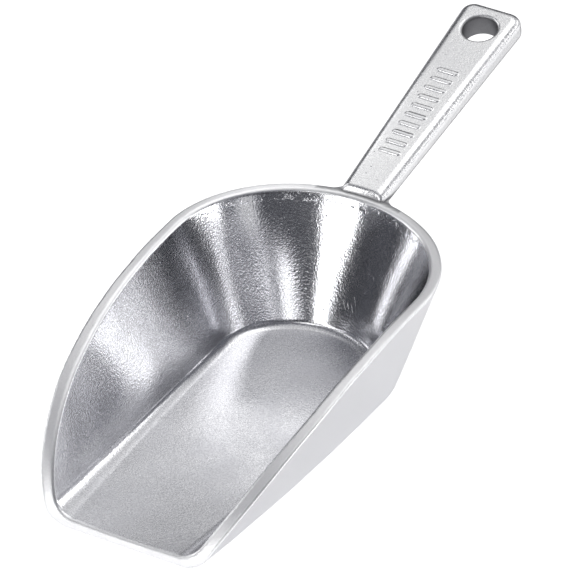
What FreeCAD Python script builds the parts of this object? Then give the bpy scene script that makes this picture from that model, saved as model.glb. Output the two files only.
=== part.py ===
import FreeCAD, Part
import math
import os

# Cast aluminium ice scoop: a flat-bottomed bowl, a bar handle, and the bead that joins them.
#
# Frame: millimetres, +Z up. The mouth faces -Y, the handle points to +Y and X = 0 is the mirror
# plane. The origin is the middle of the overall footprint, on the surface the flat base rests on.

V = FreeCAD.Vector

# ---- driving dimensions ---------------------------------------------------------------------
OVERALL_LENGTH = 249.0
FLOOR_THICKNESS = 3.0

# Inside of the bowl in plan. "Front" is the half-width at the lip, "back" the half-width where
# the rounded back starts, "reach" how far the rounded back goes on from there.
SIDE_LENGTH = 110.0
FLOOR_PLAN = {"front": 23.8, "back": 26.6, "reach": 26.2}
HIGH_PLAN = {"front": 46.2, "back": 44.0, "reach": 41.6}
HIGH_PLAN_HEIGHT = 44.0  # of the second plan above the floor
INNER_FILLET = 3.0
OUTER_FILLET = 6.0

# Thickness of the wall, measured level: at the rim, and where it meets the floor at those places.
RIM_THICKNESS = 4.1
BASE_THICKNESS = {"front": 4.8, "back": 7.6, "reach": 6.4}

# Rim seen from the side: poles of a cubic, each (behind the lip, above the floor), and then a
# straight run that rises a little towards the back.
RIM_POLES = [(0.0, 0.0), (6.0, 20.5), (45.0, 42.6), (105.0, 43.8)]
RIM_RISE_PER_MM = 0.02
RIM_INNER_ROUNDING = 0.8

# Handle: a flat-topped bar, sloping up, that widens and thickens towards its end.
HANDLE_SLOPE_DEG = 13.9
HANDLE_OVER_RIM = 2.6  # height of its top over the rim, at the bowl's outer wall
HANDLE_ON_RIM = 1.6  # how far its end laps onto the rim
ROOT_WIDTH = 16.0
END_WIDTH = 22.6
ROOT_DEPTH = 7.0
END_DEPTH = 9.0
END_CORNER_RADIUS = 5.0
SHOULDER_RADIUS = 3.2
HOLE_RADIUS = 5.9
HOLE_FROM_END = 12.0
HOLE_ROUNDING = 1.2

# Grip ribs: a row of low round-ended bars across the handle's flat top.
RIB_COUNT = 10
RIB_PITCH = 4.6
RIB_LENGTH = 7.4
RIB_WIDTH = 1.6
RIB_RISE = 0.5
RIBS_START = 18.0  # middle of the first rib, from the bowl's outer wall

# Bead at the handle's root.
BEAD_FLARE = 5.0  # its spread on each side of the handle
BEAD_RUN = 6.0  # how far it follows the handle
BEAD_DROP = 7.0  # how far it runs down the wall below the handle
BEAD_UNDER_TOP = 3.2  # its top lies this much under the handle's top

SPARE = 12.0  # how far a cutting shape runs past what it cuts

# ---- sizes that follow ----------------------------------------------------------------------
LIP_Y = -OVERALL_LENGTH / 2
BACK_START_Y = LIP_Y + SIDE_LENGTH
FLOOR_OUTSIDE = {k: FLOOR_PLAN[k] + BASE_THICKNESS[k] for k in FLOOR_PLAN}
HIGH_OUTSIDE = {k: HIGH_PLAN[k] + RIM_THICKNESS for k in HIGH_PLAN}
BACK_WALL_Y = BACK_START_Y + HIGH_OUTSIDE["reach"]
RIM_BACK_Z = FLOOR_THICKNESS + RIM_POLES[-1][1] + RIM_RISE_PER_MM * (
    BACK_WALL_Y - LIP_Y - RIM_POLES[-1][0])
BLOCK_TOP_Z = RIM_BACK_Z + SPARE
SLOPE = math.radians(HANDLE_SLOPE_DEG)
ALONG = V(0, math.cos(SLOPE), math.sin(SLOPE))
OUTWARD = V(0, -math.sin(SLOPE), math.cos(SLOPE))
HANDLE_START = V(0, BACK_WALL_Y, RIM_BACK_Z + HANDLE_OVER_RIM)  # top of the handle, at the wall
# The lower edge of the sloping end face is the furthest point back; its rounding sets the length.
HANDLE_LENGTH = SHOULDER_RADIUS + (
    OVERALL_LENGTH / 2 - BACK_WALL_Y - SHOULDER_RADIUS - (END_DEPTH - SHOULDER_RADIUS) * math.sin(SLOPE)
) / math.cos(SLOPE)


# ---- bowl -----------------------------------------------------------------------------------
def plan_outline(z, front, back, reach):
    """Closed outline at height z; its sides are parabolas that run on past the lip."""
    start_y = LIP_Y - SPARE
    run_on = (BACK_START_Y - start_y) / SIDE_LENGTH
    start_half = back + (front - back) * run_on**2
    middle_y = (start_y + BACK_START_Y) / 2

    def side(sign):
        curve = Part.BezierCurve()
        curve.setPoles([
            V(sign * start_half, start_y, z),
            V(sign * back, middle_y, z),
            V(sign * back, BACK_START_Y, z),
        ])
        return curve.toShape()

    oval = Part.Ellipse(V(back, BACK_START_Y, z), V(0, BACK_START_Y + reach, z), V(0, BACK_START_Y, z))
    rounded_back = Part.Arc(oval, 0, math.pi)
    front_edge = Part.LineSegment(V(-start_half, start_y, z), V(start_half, start_y, z)).toShape()
    return Part.Wire(Part.sortEdges([front_edge, side(1), rounded_back.toShape(), side(-1)])[0])


def plan_at(z, floor_plan, high_plan):
    share = (z - FLOOR_THICKNESS) / HIGH_PLAN_HEIGHT
    return {k: floor_plan[k] + (high_plan[k] - floor_plan[k]) * share for k in floor_plan}


def flared_block(bottom_z, floor_plan, high_plan, bottom_radius):
    """Filled form of the bowl from bottom_z up, its bottom edge rounded."""
    wires = [plan_outline(z, **plan_at(z, floor_plan, high_plan)) for z in (bottom_z, BLOCK_TOP_Z)]
    block = Part.makeLoft(wires, True, True)
    bottom = [e for e in block.Edges if e.BoundBox.ZMax < bottom_z + 0.01 and e.BoundBox.YLength > 1]
    return block.makeFillet(bottom_radius, bottom)


def above_the_rim():
    """Prism across the bowl that takes away all that lies in front of the lip or over the rim."""
    poles = [V(0, LIP_Y + y, FLOOR_THICKNESS + z) for y, z in RIM_POLES]
    sweep = Part.BezierCurve()
    sweep.setPoles(poles)
    corners = [
        poles[-1],
        V(0, BACK_WALL_Y + SPARE, RIM_BACK_Z + RIM_RISE_PER_MM * SPARE),
        V(0, BACK_WALL_Y + SPARE, BLOCK_TOP_Z + SPARE),
        V(0, LIP_Y - 2 * SPARE, BLOCK_TOP_Z + SPARE),
        V(0, LIP_Y - 2 * SPARE, -SPARE),
        V(0, LIP_Y, -SPARE),
        poles[0],
    ]
    edges = [sweep.toShape()] + [Part.LineSegment(a, b).toShape() for a, b in zip(corners, corners[1:])]
    half_width = HIGH_PLAN["front"] + 2 * SPARE
    face = Part.Face(Part.Wire(Part.sortEdges(edges)[0]))
    face.translate(V(-half_width, 0, 0))
    return face.extrude(V(2 * half_width, 0, 0))


def make_bowl(outside):
    inside = flared_block(FLOOR_THICKNESS, FLOOR_PLAN, HIGH_PLAN, INNER_FILLET)
    bowl = outside.cut(inside).cut(above_the_rim()).Solids[0]
    # The rim's inner edge is one smooth run, so its rounding spreads from the back all the way.
    inner_back = [e for e in bowl.Edges if e.BoundBox.ZMin > BLOCK_TOP_Z / 2
                  and e.BoundBox.XLength > 1.9 * HIGH_PLAN["back"] and e.BoundBox.YMax < BACK_WALL_Y - 1]
    return bowl.makeFillet(RIM_INNER_ROUNDING, inner_back).Solids[0]


# ---- handle ---------------------------------------------------------------------------------
def prism(corners, run):
    """Solid swept along run from the flat outline with these corners."""
    return Part.Face(Part.makePolygon(corners + corners[:1])).extrude(run)


def handle_point(x, along, outward):
    """Point of the handle: across it, along it from the bowl's wall, and above its flat top."""
    return HANDLE_START + V(x, 0, 0) + ALONG * along + OUTWARD * outward


def make_bar():
    """The handle without hole and ribs. It starts inside the bowl, where the wall trims it."""
    start = -SPARE
    widening = (END_WIDTH - ROOT_WIDTH) / HANDLE_LENGTH
    thickening = (END_DEPTH - ROOT_DEPTH) / HANDLE_LENGTH
    start_half = (ROOT_WIDTH + widening * start) / 2
    start_depth = ROOT_DEPTH + thickening * start
    plan = [(-start_half, start), (start_half, start),
            (END_WIDTH / 2, HANDLE_LENGTH), (-END_WIDTH / 2, HANDLE_LENGTH)]
    profile = [(start, 0), (HANDLE_LENGTH, 0), (HANDLE_LENGTH, -END_DEPTH), (start, -start_depth)]
    from_above = prism([handle_point(x, along, SPARE) for x, along in plan], -OUTWARD * 3 * SPARE)
    from_side = prism([handle_point(-SPARE, along, up) for along, up in profile], V(2 * SPARE, 0, 0))
    bar = from_above.common(from_side).Solids[0]
    end = handle_point(0, HANDLE_LENGTH, 0)
    corners = [e for e in bar.Edges if abs((e.CenterOfMass - end).dot(ALONG)) < 0.01
               and e.BoundBox.XLength < 0.01]
    bar = bar.makeFillet(END_CORNER_RADIUS, corners).Solids[0]
    wall_end = handle_point(0, start, 0)
    shoulders = [e for e in bar.Edges if (e.CenterOfMass - wall_end).dot(ALONG) > 0.01
                 and not is_along(e, OUTWARD)]
    return bar.makeFillet(SHOULDER_RADIUS, shoulders).Solids[0]


def is_along(edge, direction):
    run = edge.Vertexes[-1].Point - edge.Vertexes[0].Point
    return run.Length > 0.01 and abs(run.normalize().dot(direction)) > 0.999


def make_rib(along):
    """One bar with round ends across the handle, its foot sunk a millimetre into it."""
    radius = RIB_WIDTH / 2
    half_run = RIB_LENGTH / 2 - radius

    def foot(x, step):
        return handle_point(x, along + step, -1)

    outline = Part.Wire([
        Part.LineSegment(foot(-half_run, -radius), foot(half_run, -radius)).toShape(),
        Part.Arc(foot(half_run, -radius), foot(half_run + radius, 0), foot(half_run, radius)).toShape(),
        Part.LineSegment(foot(half_run, radius), foot(-half_run, radius)).toShape(),
        Part.Arc(foot(-half_run, radius), foot(-half_run - radius, 0), foot(-half_run, -radius)).toShape(),
    ])
    return Part.Face(outline).extrude(OUTWARD * (1 + RIB_RISE))


def make_handle(bowl):
    lapped_plan = {k: HIGH_OUTSIDE[k] - HANDLE_ON_RIM for k in HIGH_OUTSIDE}
    above_the_bowl = flared_block(0.0, FLOOR_OUTSIDE, lapped_plan, OUTER_FILLET)
    bar = make_bar().cut(bowl).cut(above_the_bowl).Solids[0]
    mouth = handle_point(0, HANDLE_LENGTH - HOLE_FROM_END, SPARE)
    bar = bar.cut(Part.makeCylinder(HOLE_RADIUS, 3 * SPARE, mouth, -OUTWARD)).Solids[0]
    rims = [e for e in bar.Edges if len(e.Vertexes) == 1 or e.BoundBox.XLength > 1.9 * HOLE_RADIUS
            and (e.CenterOfMass - mouth).cross(OUTWARD).Length < 0.5]
    bar = bar.makeFillet(HOLE_ROUNDING, rims).Solids[0]
    ribs = [make_rib(RIBS_START + RIB_PITCH * i) for i in range(RIB_COUNT)]
    return bar.fuse(ribs).Solids[0]


# ---- bead -----------------------------------------------------------------------------------
def wall_y(x, z):
    """Y of the bowl's outer wall at the back."""
    sizes = plan_at(z, FLOOR_OUTSIDE, HIGH_OUTSIDE)
    return BACK_START_Y + sizes["reach"] * math.sqrt(1 - (x / sizes["back"]) ** 2)


def hollow_curve(start, corner, end):
    curve = Part.BezierCurve()
    curve.setPoles([start, corner, end])
    return curve.toShape()


def make_bead(outside, handle):
    """Metal that fills the corner between the bowl's wall and the handle's sides and underside."""
    inner_y = BACK_WALL_Y - SPARE
    far = handle_point(0, BEAD_RUN, -ROOT_DEPTH)
    corner = handle_point(0, 0, -ROOT_DEPTH)
    foot_z = corner.z - BEAD_DROP
    foot = V(0, wall_y(0, foot_z), foot_z)
    top_far = handle_point(0, BEAD_RUN, -BEAD_UNDER_TOP)
    top_inner = handle_point(0, -SPARE, -BEAD_UNDER_TOP)
    foot_inner = V(0, top_inner.y, foot_z)
    profile = Part.Wire([
        hollow_curve(far, corner, foot),
        Part.makePolygon([foot, foot_inner, top_inner, top_far, far]),
    ])
    from_side = Part.Face(profile)
    from_side.translate(V(-END_WIDTH, 0, 0))
    from_side = from_side.extrude(V(2 * END_WIDTH, 0, 0))

    half = ROOT_WIDTH / 2
    toe = half + BEAD_FLARE
    toe_y = wall_y(toe, corner.z)
    right = hollow_curve(V(toe, toe_y, 0), V(half, wall_y(half, corner.z), 0), V(half, far.y, 0))
    left = right.mirror(V(), V(1, 0, 0))
    plan = Part.Wire(Part.sortEdges([
        right,
        left,
        Part.LineSegment(V(half, far.y, 0), V(-half, far.y, 0)).toShape(),
        Part.LineSegment(V(-toe, toe_y, 0), V(-toe, inner_y, 0)).toShape(),
        Part.LineSegment(V(-toe, inner_y, 0), V(toe, inner_y, 0)).toShape(),
        Part.LineSegment(V(toe, inner_y, 0), V(toe, toe_y, 0)).toShape(),
    ])[0])
    from_above = Part.Face(plan).extrude(V(0, 0, BLOCK_TOP_Z))
    return from_above.common(from_side).cut(outside).cut(handle)


outside = flared_block(0.0, FLOOR_OUTSIDE, HIGH_OUTSIDE, OUTER_FILLET)
bowl = make_bowl(outside)
handle = make_handle(bowl)
parts = {
    "bowl": bowl,
    "handle": handle,
    "weld_bead": make_bead(outside, handle),
}
os.makedirs("parts", exist_ok=True)
for node, shape in parts.items():
    shape.exportStep(f"parts/{node}.step")
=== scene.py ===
import math

import bpy
import numpy as np
from mathutils import Matrix, Vector


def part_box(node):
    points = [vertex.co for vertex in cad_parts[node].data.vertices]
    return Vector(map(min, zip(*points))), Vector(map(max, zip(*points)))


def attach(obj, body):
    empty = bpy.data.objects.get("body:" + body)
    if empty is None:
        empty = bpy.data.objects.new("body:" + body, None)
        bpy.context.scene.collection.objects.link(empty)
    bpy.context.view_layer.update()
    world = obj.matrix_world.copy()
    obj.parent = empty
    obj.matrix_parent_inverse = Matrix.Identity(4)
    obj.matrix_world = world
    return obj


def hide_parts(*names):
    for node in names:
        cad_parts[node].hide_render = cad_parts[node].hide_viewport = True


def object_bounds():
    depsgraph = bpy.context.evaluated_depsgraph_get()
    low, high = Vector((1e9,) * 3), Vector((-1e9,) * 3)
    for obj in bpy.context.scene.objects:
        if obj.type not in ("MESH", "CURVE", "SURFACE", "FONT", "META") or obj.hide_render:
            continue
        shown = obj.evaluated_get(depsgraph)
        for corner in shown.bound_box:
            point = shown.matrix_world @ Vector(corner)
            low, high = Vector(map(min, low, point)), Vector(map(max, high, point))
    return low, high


# A cast aluminium ice scoop on a pale table. Each visible piece is the zero surface of a field: a
# function of points that is negative inside the metal and about the distance to it outside. Fields
# are in millimetres, in the part's frame (+Z up, mouth to -Y, handle to +Y, mirror plane X = 0).

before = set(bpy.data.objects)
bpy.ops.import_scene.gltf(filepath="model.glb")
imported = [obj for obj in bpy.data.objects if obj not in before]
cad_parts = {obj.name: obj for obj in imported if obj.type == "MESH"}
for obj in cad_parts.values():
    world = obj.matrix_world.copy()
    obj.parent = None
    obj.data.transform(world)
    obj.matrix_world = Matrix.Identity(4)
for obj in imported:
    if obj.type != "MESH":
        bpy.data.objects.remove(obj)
cad_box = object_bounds()
MM = 0.001

# ---- sizes of the part, in mm -----------------------------------------------------------------
LIP_Y = cad_box[0].y / MM
SIDE_LENGTH = 110.0  # from the lip to the start of the rounded back
BACK_START_Y = LIP_Y + SIDE_LENGTH
FLOOR_Z = 3.0
FLOOR_PLAN = {"front": 23.8, "back": 26.6, "reach": 26.2}
HIGH_PLAN = {"front": 46.2, "back": 44.0, "reach": 41.6}
HIGH_PLAN_HEIGHT = 44.0
RIM_THICKNESS = 4.1
BASE_THICKNESS = {"front": 4.8, "back": 7.6, "reach": 6.4}
OUTER_FILLET = 6.0
INNER_FILLET_BACK, INNER_FILLET_LIP = 2.2, 4.6
RIM_OUTER_ROUNDING, RIM_INNER_ROUNDING = 1.1, 1.0
WALL_LEAN = 0.93  # distance square to the flared walls over distance measured level
RIM_POLES = [(0.0, 0.0), (6.0, 20.5), (45.0, 42.6), (105.0, 43.8)]
RIM_RISE_PER_MM = 0.02

HANDLE_SLOPE = math.radians(13.9)
HANDLE_OVER_RIM = 2.6
HANDLE_ON_RIM = 1.6
ROOT_WIDTH, END_WIDTH = 16.0, 22.6
ROOT_DEPTH, END_DEPTH = 7.0, 9.0
END_CORNER_RADIUS = 5.0
SHOULDER_RADIUS = 3.2
HOLE_RADIUS = 5.9
HOLE_FROM_END = 12.0
HOLE_ROUNDING = 1.2
RIB_COUNT, RIB_PITCH, RIBS_START = 10, 4.6, 18.0
RIB_LENGTH, RIB_WIDTH, RIB_RISE = 7.4, 1.6, 0.5
RIB_ROUNDING, RIB_FILLET = 0.35, 0.4
ROOT_ROUNDING = 0.8

# The bead runs on inside the bowl and the handle, where it isn't seen, so that no gap can show.
BEAD_HOLLOW = 5.0
BEAD_SUNK = 0.15  # how far its thin outer edge lies under the surfaces that it meets
BEAD_HALF_WIDTH, BEAD_RUN, BEAD_DROP = 15.0, 9.0, 16.0
BEAD_IN_THE_WALL = 1.55
BEAD_UNDER_RIM, BEAD_TOP_ROUNDING = 0.4, 0.5

FLOOR_OUTSIDE = {k: FLOOR_PLAN[k] + BASE_THICKNESS[k] for k in FLOOR_PLAN}
HIGH_OUTSIDE = {k: HIGH_PLAN[k] + RIM_THICKNESS for k in HIGH_PLAN}
BACK_WALL_Y = BACK_START_Y + HIGH_OUTSIDE["reach"]
RIM_BACK_Z = FLOOR_Z + RIM_POLES[-1][1] + RIM_RISE_PER_MM * (BACK_WALL_Y - LIP_Y - RIM_POLES[-1][0])
ALONG = np.array([0.0, math.cos(HANDLE_SLOPE), math.sin(HANDLE_SLOPE)])
OUTWARD = np.array([0.0, -math.sin(HANDLE_SLOPE), math.cos(HANDLE_SLOPE)])
HANDLE_START = np.array([0.0, BACK_WALL_Y, RIM_BACK_Z + HANDLE_OVER_RIM])
HANDLE_END_Y = cad_box[1].y / MM
HANDLE_LENGTH = SHOULDER_RADIUS + (
    HANDLE_END_Y - BACK_WALL_Y - SHOULDER_RADIUS - (END_DEPTH - SHOULDER_RADIUS) * math.sin(HANDLE_SLOPE)
) / math.cos(HANDLE_SLOPE)


# ---- joining fields ---------------------------------------------------------------------------
def both(a, b, radius):
    """Where a and b are both metal, with the edge between them rounded."""
    corner = np.hypot(np.maximum(a + radius, 0), np.maximum(b + radius, 0))
    return np.minimum(-radius, np.maximum(a, b)) + corner


def either(a, b, radius):
    """Where a or b is metal, with a fillet in the corner between them."""
    return -both(-a, -b, radius)


def mix(a, b, share):
    return a + (b - a) * share


# ---- bowl -------------------------------------------------------------------------------------
def flare(p, floor_plan, high_plan):
    """Flared side and back walls through a plan at the floor and another above it."""
    x, y, z = p[:, 0], p[:, 1], p[:, 2]
    share = (z - FLOOR_Z) / HIGH_PLAN_HEIGHT
    front, back, reach = (mix(floor_plan[k], high_plan[k], share) for k in ("front", "back", "reach"))
    ahead = (BACK_START_Y - y) / SIDE_LENGTH
    side = np.abs(x) - mix(back, front, ahead**2)
    around = np.hypot(x / back, (y - BACK_START_Y) / reach)
    rounded_back = np.hypot(x, y - BACK_START_Y) * (1 - 1 / np.maximum(around, 1e-3))
    return np.where(ahead > 0, side, rounded_back) * WALL_LEAN


def rim_line():
    """Points along the rim seen from the side, as (y, z) from under the lip to past the back."""
    t = np.linspace(0, 1, 260)[:, None]
    a, b, c, d = (np.array(pole) + (LIP_Y, FLOOR_Z) for pole in RIM_POLES)
    curve = (1 - t) ** 3 * a + 3 * t * (1 - t) ** 2 * b + 3 * t**2 * (1 - t) * c + t**3 * d
    past_the_back = d + np.array([1.0, RIM_RISE_PER_MM]) * 90
    return np.vstack([[LIP_Y, -40.0], curve, past_the_back])


def make_rim_map(step=0.25, at_a_time=20):
    """The distance from the rim line over a grid of the side view, negative under the rim."""
    line = rim_line()
    ys, zs = np.arange(LIP_Y - 12, BACK_WALL_Y + 12, step), np.arange(-12, RIM_BACK_Z + 14, step)
    spots = np.stack(np.meshgrid(ys, zs, indexing="ij"), -1).reshape(-1, 1, 2)
    nearest = np.full(len(spots), np.inf)
    signed = np.zeros(len(spots))
    for start in range(0, len(line) - 1, at_a_time):
        b = line[start + 1:start + 1 + at_a_time]
        a = line[start:start + len(b)]
        run = b - a
        t = np.clip(((spots - a) * run).sum(-1) / (run**2).sum(-1), 0, 1)
        off = spots - (a + t[..., None] * run)
        distance = np.hypot(off[..., 0], off[..., 1])
        turn = run[:, 0] * off[..., 1] - run[:, 1] * off[..., 0]
        best = distance.argmin(1)
        rows = np.arange(len(spots))
        closer = distance[rows, best] < nearest
        nearest[closer] = distance[rows, best][closer]
        signed[closer] = np.sign(turn[rows, best][closer])
    return ys, zs, (nearest * signed).reshape(len(ys), len(zs)), step


rim_map = make_rim_map()


def over_the_rim(p):
    """Negative under the rim and behind the lip."""
    ys, zs, distance, step = rim_map
    u = np.clip((p[:, 1] - ys[0]) / step, 0, len(ys) - 1.001)
    v = np.clip((p[:, 2] - zs[0]) / step, 0, len(zs) - 1.001)
    i, j = u.astype(int), v.astype(int)
    u, v = u - i, v - j
    lower = mix(distance[i, j], distance[i + 1, j], u)
    upper = mix(distance[i, j + 1], distance[i + 1, j + 1], u)
    return mix(lower, upper, v)


def make_waves(count=7, shortest=16.0, longest=45.0, height=0.035):
    """Random long waves, each as its direction times 2 pi / length, its phase and its height."""
    rng = np.random.default_rng(7)
    directions = rng.normal(size=(count, 3))
    directions /= np.linalg.norm(directions, axis=1)[:, None]
    lengths = rng.uniform(shortest, longest, count)
    phases = rng.uniform(0, 2 * math.pi, count)
    return directions * (2 * math.pi / lengths)[:, None], phases, height * lengths / longest


waves = make_waves()


def unevenness(p):
    """The slight waviness of a hand-finished casting."""
    turns, phases, heights = waves
    return (np.sin(p @ turns.T + phases) * heights).sum(1)


def bowl_outside(p):
    return both(flare(p, FLOOR_OUTSIDE, HIGH_OUTSIDE) + unevenness(p), -p[:, 2], OUTER_FILLET)


def cavity_floor(p):
    """The floor inside, dished very slightly. It is lowest on the middle line, a little over half way
    to the lip."""
    lowest_y, across, lengthwise = -62, 1000, 9000
    return FLOOR_Z + p[:, 0]**2 / across + (p[:, 1] - lowest_y)**2 / lengthwise


def bowl_field(p):
    ahead = np.clip((BACK_START_Y - p[:, 1]) / SIDE_LENGTH, 0, 1)
    cavity = both(flare(p, FLOOR_PLAN, HIGH_PLAN) + unevenness(p),
                  cavity_floor(p) + unevenness(p) - p[:, 2],
                  mix(INNER_FILLET_BACK, INNER_FILLET_LIP, ahead**2))
    rim = over_the_rim(p)
    return np.maximum(both(bowl_outside(p), rim, RIM_OUTER_ROUNDING), both(-cavity, rim, RIM_INNER_ROUNDING))


# ---- handle -----------------------------------------------------------------------------------
def in_handle(p):
    """Coordinates across the handle, along it from the bowl's wall, and up from its flat top."""
    away = p - HANDLE_START
    return away[:, 0], away @ ALONG, away @ OUTWARD


def bar_field(p):
    x, along, up = in_handle(p)
    share = along / HANDLE_LENGTH
    half_width, depth = mix(ROOT_WIDTH, END_WIDTH, share) / 2, mix(ROOT_DEPTH, END_DEPTH, share)
    plan = both(np.abs(x) - half_width, along - HANDLE_LENGTH, END_CORNER_RADIUS)
    return both(both(plan, up, SHOULDER_RADIUS), -up - depth, SHOULDER_RADIUS)


def from_hole_axis(x, along):
    return np.hypot(x, along - (HANDLE_LENGTH - HOLE_FROM_END))


def handle_field(p):
    x, along, up = in_handle(p)
    nearest_rib = np.clip(np.round((along - RIBS_START) / RIB_PITCH), 0, RIB_COUNT - 1)
    past_the_rib = np.maximum(np.abs(x) - (RIB_LENGTH - RIB_WIDTH) / 2, 0)
    rib_outline = np.hypot(past_the_rib, along - RIBS_START - RIB_PITCH * nearest_rib) - RIB_WIDTH / 2
    rib_foot = -2.0  # inside the bar
    ribs = both(both(rib_outline, up - RIB_RISE, RIB_ROUNDING), rib_foot - up, 0.1)
    bar = either(bar_field(p), ribs, RIB_FILLET)
    hole = HOLE_RADIUS - from_hole_axis(x, along)
    end_on_the_rim = -flare(p, FLOOR_OUTSIDE, HIGH_OUTSIDE) - HANDLE_ON_RIM
    return both(both(bar, hole, HOLE_ROUNDING), end_on_the_rim, ROOT_ROUNDING)


# ---- bead -------------------------------------------------------------------------------------
def bead_field(p):
    """The hollow fillet between the wall and the bar, cut off round about where it has run out."""
    wall = flare(p, FLOOR_OUTSIDE, HIGH_OUTSIDE)
    fillet = either(wall + BEAD_SUNK, bar_field(p) + BEAD_SUNK, BEAD_HOLLOW)
    x, along, up = in_handle(p)
    near_the_root = both(both(np.abs(x) - BEAD_HALF_WIDTH, along - BEAD_RUN, 2),
                         RIM_BACK_Z - BEAD_DROP - p[:, 2], 1)
    over_its_top = p[:, 2] - (RIM_BACK_Z - BEAD_UNDER_RIM)
    bead = np.maximum(both(fillet, over_its_top, BEAD_TOP_ROUNDING), near_the_root)
    return np.maximum(bead, -(wall + BEAD_IN_THE_WALL))


# ---- from a field to a mesh -------------------------------------------------------------------
def slopes(field, p, reach=0.02):
    """The field's gradient at each point."""
    gradient = np.empty_like(p)
    for axis in range(3):
        step = np.zeros(3)
        step[axis] = reach
        gradient[:, axis] = (field(p + step) - field(p - step)) / (2 * reach)
    return gradient


def settle(field, p, flattest=0.05, longest_step=0.7):
    """Moves points on to the field's zero surface."""
    for _ in range(2):
        gradient = slopes(field, p)
        size = np.maximum((gradient**2).sum(1), flattest)
        p = p - gradient * np.clip(field(p) / size, -longest_step, longest_step)[:, None]
    return p


def crossed_cells(field, low, high, cell):
    """Corners and quads of a net with one corner in each cell of a grid that the surface crosses."""
    axes = [np.arange(low[i], high[i] + cell, cell) for i in range(3)]
    y, z = np.meshgrid(axes[1], axes[2], indexing="ij")
    inside = np.stack([
        (field(np.stack([np.full(y.size, x), y.ravel(), z.ravel()], -1)) < 0).reshape(y.shape)
        for x in axes[0]
    ])
    count = sum(inside[i:i - 1 or None, j:j - 1 or None, k:k - 1 or None].astype(int)
                for i in (0, 1) for j in (0, 1) for k in (0, 1))
    crossed = (count > 0) & (count < 8)
    number = np.full(crossed.shape, -1)
    number[crossed] = np.arange(crossed.sum())
    corners = np.array(low) + (np.argwhere(crossed) + 0.5) * cell
    quads = []
    for axis in range(3):
        b, c = (axis + 1) % 3, (axis + 2) % 3
        ahead = np.moveaxis(inside, (axis, b, c), (0, 1, 2))
        cells = np.moveaxis(number, (axis, b, c), (0, 1, 2))
        flips = ahead[:-1, 1:-1, 1:-1].astype(int) - ahead[1:, 1:-1, 1:-1]
        i, j, k = np.nonzero(flips)
        ring = np.stack([cells[i, j, k], cells[i, j + 1, k], cells[i, j + 1, k + 1], cells[i, j, k + 1]], -1)
        outward = flips[i, j, k] > 0
        quads.append(np.where(outward[:, None], ring, ring[:, ::-1]))
    return corners, np.vstack(quads)


def relaxed(p, quads):
    """Each point moved to the middle of its neighbours."""
    ends = np.vstack([quads[:, [0, 1]], quads[:, [1, 2]], quads[:, [2, 3]], quads[:, [3, 0]]])
    total = np.stack([np.bincount(ends[:, 0], p[ends[:, 1], axis], len(p))
                      + np.bincount(ends[:, 1], p[ends[:, 0], axis], len(p))
                      for axis in range(p.shape[1])], -1)
    count = np.bincount(ends.ravel(), minlength=len(p))
    return total / count[:, None]


def make_piece(name, field, low, high, cell, **finds):
    """A mesh of the field's zero surface.

    Each point is marked with how worn it is, and with what each function in finds gives for it."""
    p, quads = crossed_cells(field, low, high, cell)
    for _ in range(6):
        p = settle(field, relaxed(p, quads))
    p = settle(field, p)
    normals = slopes(field, p)
    normals /= np.linalg.norm(normals, axis=1)[:, None]
    mesh = bpy.data.meshes.new(name)
    mesh.from_pydata(p * MM, [], quads)
    mesh.polygons.foreach_set("use_smooth", [True] * len(quads))
    mesh.normals_split_custom_set_from_vertices(normals)
    marks = {"edge": edge_wear(p, normals, quads, cell)}
    marks |= {key: find(p) for key, find in finds.items()}
    for key, values in marks.items():
        mesh.attributes.new(key, "FLOAT", "POINT").data.foreach_set("value", values)
    piece = bpy.data.objects.new(name, mesh)
    bpy.context.collection.objects.link(piece)
    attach(piece, "root")
    return piece


def edge_wear(p, normals, quads, cell):
    """0 on flat or hollow surfaces, 1 on outer edges of about 1 mm radius, soft between."""
    bulge = ((p - relaxed(p, quads)) * normals).sum(1) * 2 / cell**2
    for _ in range(3):
        bulge = (bulge + relaxed(bulge[:, None], quads)[:, 0]) / 2
    return np.clip(bulge / 0.6, 0, 1)


def around(node, margin=1.5):
    low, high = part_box(node)
    return [v / MM - margin for v in low], [v / MM + margin for v in high]


def fade(value, near, far):
    """1 below near, 0 above far, straight between."""
    return np.clip((far - value) / (far - near), 0, 1)


def crease(*others):
    """A mark for where a piece meets other pieces, where the metal is painted dark as shade."""
    return lambda p: fade(np.abs(np.min([other(p) for other in others], axis=0)), 0.15, 0.9)


# The hole's bore, where the metal is painted dark as shade.
def in_the_hole(p):
    x, along, up = in_handle(p)
    return fade(from_hole_axis(x, along), HOLE_RADIUS + 0.1, HOLE_RADIUS + 0.7)


def under_the_rim(p):
    """A band inside the bowl, 2 mm under the rim and round its back."""
    depth = -over_the_rim(p)
    inside = fade(flare(p, FLOOR_PLAN, HIGH_PLAN), 0.3, 1.0)
    at_the_back = fade(-p[:, 1], -30, 10)
    return fade(np.abs(depth - 2.1), 0.4, 1.3) * inside * at_the_back


def on_the_rim(p):
    return fade(-over_the_rim(p), 0.3, 1.1)


bowl = make_piece("bowl_casting", bowl_field, *around("bowl"), 0.75,
                  crease=crease(handle_field, bead_field), flash=under_the_rim, rim=on_the_rim)
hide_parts("bowl")
handle = make_piece("handle_casting", handle_field, *around("handle"), 0.45,
                    crease=crease(bowl_field, bead_field), hole=in_the_hole)
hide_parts("handle")
bead = make_piece("root_bead", bead_field, *around("weld_bead", 5), 0.4,
                  crease=crease(bowl_field, handle_field))
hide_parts("weld_bead")


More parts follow.
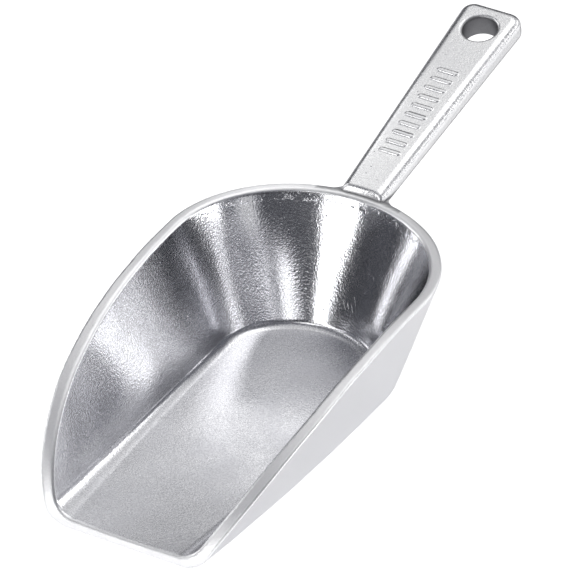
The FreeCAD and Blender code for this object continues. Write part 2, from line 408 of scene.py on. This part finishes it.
def make_camera():
    """A long lens from the front right. The slide moves the camera sideways and up in its own plane."""
    azimuth, elevation, roll = math.radians(28.845), math.radians(33.166), math.radians(0.997)
    distance = 2.0
    target = Vector((0.0, LIP_Y * MM + 0.09, 0.023))
    slide = Vector((0.00660, 0.02151))
    back = Vector((math.sin(azimuth) * math.cos(elevation), -math.cos(azimuth) * math.cos(elevation),
                   math.sin(elevation)))
    level = Vector((math.cos(azimuth), math.sin(azimuth), 0.0))
    rise = back.cross(level)
    right = level * math.cos(roll) + rise * math.sin(roll)
    up = rise * math.cos(roll) - level * math.sin(roll)
    data = bpy.data.cameras.new("camera")
    data.sensor_width = 36.0
    data.lens = 389.6
    data.clip_end = 20.0
    camera = bpy.data.objects.new("camera", data)
    bpy.context.collection.objects.link(camera)
    place = target + back * distance + right * slide.x + up * slide.y
    camera.matrix_world = Matrix.Translation(place) @ Matrix((right, up, back)).transposed().to_4x4()
    bpy.context.scene.camera = camera


make_camera()


# ---- looks ------------------------------------------------------------------------------------
class Graph:
    """Adds nodes to a node tree. An input is a number, a colour or another node's output."""

    def __init__(self, tree):
        self.tree = tree

    def feed(self, socket, value):
        if isinstance(value, bpy.types.NodeSocket):
            self.tree.links.new(value, socket)
        elif value is not None:
            socket.default_value = value

    def node(self, kind, inputs=None, **settings):
        node = self.tree.nodes.new(kind)
        for key, value in settings.items():
            setattr(node, key, value)
        for key, value in (inputs or {}).items():
            self.feed(node.inputs[key], value)
        return node

    def math(self, operation, a, b=None, c=None, clamp=False):
        node = self.node("ShaderNodeMath", {0: a, 1: b, 2: c}, operation=operation, use_clamp=clamp)
        return node.outputs[0]

    def step(self, value, low, high, out_low=0.0, out_high=1.0):
        """A smooth step of value from low to high."""
        node = self.node("ShaderNodeMapRange", {
            "Value": value, "From Min": low, "From Max": high, "To Min": out_low, "To Max": out_high,
        }, interpolation_type="SMOOTHSTEP")
        return node.outputs["Result"]

    def scaled(self, vector, scale):
        return self.node("ShaderNodeMapping", {"Vector": vector, "Scale": scale}).outputs["Vector"]

    def turned(self, vector, turn):
        return self.node("ShaderNodeMapping", {"Vector": vector, "Rotation": turn}).outputs["Vector"]

    def noise(self, vector, scale, detail=2.0, roughness=0.5, distortion=0.0):
        node = self.node("ShaderNodeTexNoise", {
            "Vector": vector, "Scale": scale, "Detail": detail, "Roughness": roughness,
            "Distortion": distortion,
        })
        return node.outputs["Fac"]

    def either(self, share, a, b):
        """The number a where share is 0, b where it is 1."""
        node = self.node("ShaderNodeMix", {"Factor": share, "A": a, "B": b}, data_type="FLOAT")
        return node.outputs["Result"]

    def mixed(self, share, a, b):
        """The colour a where share is 0, b where it is 1."""
        node = self.node("ShaderNodeMix", {"Factor": share, "A": a, "B": b}, data_type="RGBA")
        return node.outputs["Result"]


def scratches(graph, mm, turn, across, threshold):
    """Thin straight marks in one direction, few and of uneven length."""
    lines = graph.noise(graph.scaled(graph.turned(mm, turn), (across, 0.16, 0.16)), 1.0, 1.0)
    patches = graph.noise(mm, 0.07, 1.0)
    marks = graph.step(lines, threshold, threshold + 0.02)
    return graph.math("MULTIPLY", marks, graph.step(patches, 0.5, 0.62))


def cast_aluminium(name, *, tint, deep_tint, speckle, grazing, roughness,
                   grain, grain_depth, peel_depth, pits):
    """Cast aluminium: a bright metal with a fine grain, an uneven skin, pits and handling marks.

    tint and deep_tint are the skin's two colours, speckle is how much darker grains show and grazing is
    what is left of the reflection at glancing angles. grain is per mm, grain_depth and peel_depth are
    the heights of the grain and of the uneven skin in mm, and pits is the share of places with a pit."""
    grain_colour, pit_colour = (0.55, 0.55, 0.575, 1), (0.35, 0.35, 0.37, 1)
    # The last colour is painted shade for the creases between pieces and for the hole's bore.
    worn_colour, painted_shade_colour = (0.98, 0.98, 0.985, 1), (0.10, 0.10, 0.11, 1)
    material = bpy.data.materials.new(name)
    material.use_nodes = True
    graph = Graph(material.node_tree)
    shader = material.node_tree.nodes["Principled BSDF"]
    place = graph.node("ShaderNodeTexCoord").outputs["Object"]
    mm = graph.scaled(place, (1 / MM, 1 / MM, 1 / MM))
    edge, rim, gap, bore, band = (graph.node("ShaderNodeAttribute", attribute_name=key).outputs["Fac"]
                                  for key in ("edge", "rim", "crease", "hole", "flash"))

    # Where the metal is worn bright, scuffed dull, and painted dark as shade in the creases between pieces
    # and in the hole's bore.
    worn = graph.math("MAXIMUM", graph.step(edge, 0.25, 0.9), rim)
    level = graph.node("ShaderNodeSeparateXYZ", {"Vector": mm}).outputs["Z"]
    scuffed = graph.step(level, FLOOR_Z + 0.8, FLOOR_Z + 3, 1.0, 0.0)
    painted_shade = graph.math("MAXIMUM", graph.math("MULTIPLY", gap, 0.75), graph.math("MULTIPLY", bore, 0.85))

    # Patterns in the skin, from the finest up, and then single marks.
    crystals = graph.noise(mm, grain, 1.0, 0.5)
    grains = graph.step(graph.noise(mm, 2.1, 2.0, 0.6), 0.42, 0.6, 0.0, speckle)
    peel = graph.noise(mm, 0.55, 2.0, 0.5)
    clouds = graph.noise(mm, 0.05, 3.0, 0.6)
    spots = graph.node("ShaderNodeTexVoronoi", {"Vector": mm, "Scale": 0.42}, feature="F1")
    draw = graph.node("ShaderNodeSeparateColor", {"Color": spots.outputs["Color"]}).outputs["Red"]
    chosen = graph.math("GREATER_THAN", draw, 1 - pits)
    pit = graph.math("MULTIPLY", graph.step(spots.outputs["Distance"], 0.05, 0.16, 1.0, 0.0), chosen)
    ridges = graph.math("MULTIPLY", graph.step(graph.noise(mm, 0.45, 2.0, 0.6, 0.8), 0.53, 0.6), band)
    marks = graph.math("MAXIMUM", scratches(graph, mm, (0.3, 0.5, 0.7), 5.0, 0.73),
                       scratches(graph, mm, (1.1, 0.2, 2.3), 4.0, 0.75))

    height = graph.math("MULTIPLY", crystals, grain_depth)
    height = graph.math("MULTIPLY_ADD", peel, peel_depth, height)
    height = graph.math("MULTIPLY", height, graph.step(edge, 0.2, 1.0, 1.0, 0.35))
    for share, rise in ((pit, -0.05), (marks, -0.008), (ridges, 0.10)):
        height = graph.math("MULTIPLY_ADD", share, rise, height)
    bump = graph.node("ShaderNodeBump", {"Height": height, "Strength": 1.0, "Distance": MM})

    shine = graph.math("MULTIPLY_ADD", crystals, 0.12, roughness - 0.06)
    shine = graph.math("MULTIPLY_ADD", clouds, 0.16, graph.math("SUBTRACT", shine, 0.08))
    for share, rise in ((worn, 0.26), (scuffed, 0.13), (pit, 0.3), (painted_shade, 0.3)):
        shine = graph.math("MULTIPLY_ADD", share, rise, shine)
    shine = graph.math("MULTIPLY_ADD", marks, 0.1, shine, clamp=True)

    skin = graph.mixed(graph.step(clouds, 0.3, 0.7), (*tint, 1), (*deep_tint, 1))
    skin = graph.mixed(grains, skin, grain_colour)
    skin = graph.mixed(graph.math("MULTIPLY", pit, 0.5), skin, pit_colour)
    skin = graph.mixed(graph.math("MULTIPLY", worn, 0.8), skin, worn_colour)
    # Painted shade: near black in the creases between pieces and in the hole's bore.
    skin = graph.mixed(painted_shade, skin, painted_shade_colour)

    graph.feed(shader.inputs["Base Color"], skin)
    graph.feed(shader.inputs["Metallic"], 1.0)
    graph.feed(shader.inputs["Specular Tint"], (grazing, grazing, grazing, 1))
    graph.feed(shader.inputs["Roughness"], shine)
    graph.feed(shader.inputs["Normal"], bump.outputs["Normal"])
    return material


bowl.data.materials.append(cast_aluminium(
    "polished_cast_aluminium", tint=(0.93, 0.93, 0.95), deep_tint=(0.875, 0.877, 0.905), speckle=0.5,
    grazing=0.75, roughness=0.15, grain=1.6, grain_depth=0.04, peel_depth=0.02, pits=0.06))
handle.data.materials.append(cast_aluminium(
    "tumbled_cast_aluminium", tint=(0.97, 0.97, 0.975), deep_tint=(0.92, 0.92, 0.93), speckle=0.25,
    grazing=0.2, roughness=0.27, grain=1.8, grain_depth=0.06, peel_depth=0.05, pits=0.10))
bead.data.materials.append(cast_aluminium(
    "bead_aluminium", tint=(0.91, 0.91, 0.92), deep_tint=(0.85, 0.85, 0.865), speckle=0.3,
    grazing=0.5, roughness=0.24, grain=1.4, grain_depth=0.10, peel_depth=0.10, pits=0.08))


# ---- table and studio -------------------------------------------------------------------------
# Seen directly, the table and the background are near white. The metal sees the table a little
# darker, and the studio's cards in place of the background.
TABLE_GLOW_SEEN, TABLE_GLOW = 0.62, 0.52
BACKGROUND_SEEN = 0.95


def make_floor(half=5.0):
    corners = [(-half, -half, 0), (half, -half, 0), (half, half, 0), (-half, half, 0)]
    mesh = bpy.data.meshes.new("floor")
    mesh.from_pydata(corners, [], [(0, 1, 2, 3)])
    floor = bpy.data.objects.new("floor", mesh)
    bpy.context.collection.objects.link(floor)
    material = bpy.data.materials.new("pale_table")
    material.use_nodes = True
    graph = Graph(material.node_tree)
    shader = material.node_tree.nodes["Principled BSDF"]
    place = graph.node("ShaderNodeTexCoord").outputs["Object"]
    tone = graph.mixed(graph.noise(place, 9.0, 3.0), (0.90, 0.90, 0.90, 1), (0.93, 0.93, 0.93, 1))
    graph.feed(shader.inputs["Base Color"], tone)
    graph.feed(shader.inputs["Roughness"], 0.7)
    graph.feed(shader.inputs["Specular IOR Level"], 0.2)
    graph.feed(shader.inputs["Emission Color"], (1, 1, 1, 1))
    seen = graph.node("ShaderNodeLightPath").outputs["Is Camera Ray"]
    graph.feed(shader.inputs["Emission Strength"], graph.either(seen, TABLE_GLOW, TABLE_GLOW_SEEN))
    mesh.materials.append(material)


# The studio around the table, as cards far away: azimuth of the card's middle (0 is in front, 90 is
# +X), elevation, half its width and half its height, all in degrees, then its brightness. Bright cards
# are softboxes and dim ones are flags. A later card covers an earlier one.
CARDS = [
    (180, 46, 55, 16, 0.62),
    (180, 61, 65, 9, 1.9),
    (-128, 60, 22, 8, 0.8),
    (145, 21, 22, 8, 2.2),
    (105, 9, 13, 8, 3.5),
    (-140, 24, 28, 7, 0.02),
    (-50, 27, 40, 5, 0.08),
    (-82, 20, 11, 7, 2.8),
    (26, 23, 42, 10, 0.06),
    (66, 6, 9, 8, 0.6),
    (30, 5, 27, 8, 0.10),
    (-12, 8, 14, 11, 3.2),
    (-22, 27, 8, 8, 2.2),
    (-46, 37, 8, 2.2, 2.6),
    (-78, 37, 24, 3, 3.1),
    (5, 38.5, 16, 3.5, 3.0),
]
ROOM, CEILING = 0.17, 0.66
CEILING_STARTS, CEILING_FULL = 61, 70
SOFT_EDGE = 2.5


def make_world():
    world = bpy.data.worlds.new("studio")
    bpy.context.scene.world = world
    world.use_nodes = True
    graph = Graph(world.node_tree)
    direction = graph.node("ShaderNodeTexCoord").outputs["Generated"]
    height = graph.node("ShaderNodeSeparateXYZ", {"Vector": direction}).outputs["Z"]
    climb = graph.math("DEGREES", graph.math("ARCSINE", height))
    light = graph.step(climb, CEILING_STARTS, CEILING_FULL, ROOM, CEILING)
    for azimuth, elevation, half_width, half_height, brightness in CARDS:
        facing = graph.node("ShaderNodeVectorRotate", {
            "Vector": direction, "Angle": -math.radians(azimuth)}, rotation_type="Z_AXIS").outputs["Vector"]
        parts = graph.node("ShaderNodeSeparateXYZ", {"Vector": facing})
        ahead = graph.math("MULTIPLY", parts.outputs["Y"], -1.0)
        turn = graph.math("DEGREES", graph.math("ARCTAN2", parts.outputs["X"], ahead))
        lift = graph.math("SUBTRACT", climb, elevation)
        across, tall = (
            graph.step(graph.math("ABSOLUTE", off), half - SOFT_EDGE, half + SOFT_EDGE, 1.0, 0.0)
            for off, half in ((turn, half_width), (lift, half_height)))
        light = graph.either(graph.math("MULTIPLY", across, tall), light, brightness)
    # Dim places are slightly blue.
    colour = graph.mixed(graph.step(light, 0.1, 0.8), (0.87, 0.89, 1, 1), (1, 1, 1, 1))
    seen = graph.node("ShaderNodeLightPath").outputs["Is Camera Ray"]
    background = world.node_tree.nodes["Background"]
    graph.feed(background.inputs["Color"], colour)
    graph.feed(background.inputs["Strength"], graph.either(seen, light, BACKGROUND_SEEN))


def make_lamp():
    """A small soft lamp, high behind the bowl on its -X side. It puts the glow on the bowl's floor."""
    lamp = bpy.data.lights.new("lamp", "AREA")
    lamp.shape = "DISK"
    lamp.size = 0.05
    lamp.energy = 0.0060
    holder = bpy.data.objects.new("lamp", lamp)
    bpy.context.collection.objects.link(holder)
    place = Vector((-0.074, 0.103, 0.123))
    aim = Vector((0.015, -0.058, FLOOR_Z * MM))
    turn = (place - aim).to_track_quat("Z", "Y").to_matrix().to_4x4()
    holder.matrix_world = Matrix.Translation(place) @ turn
    holder.visible_camera = False


make_floor()
make_world()
make_lamp()
bpy.context.scene.view_settings.view_transform = "Standard"
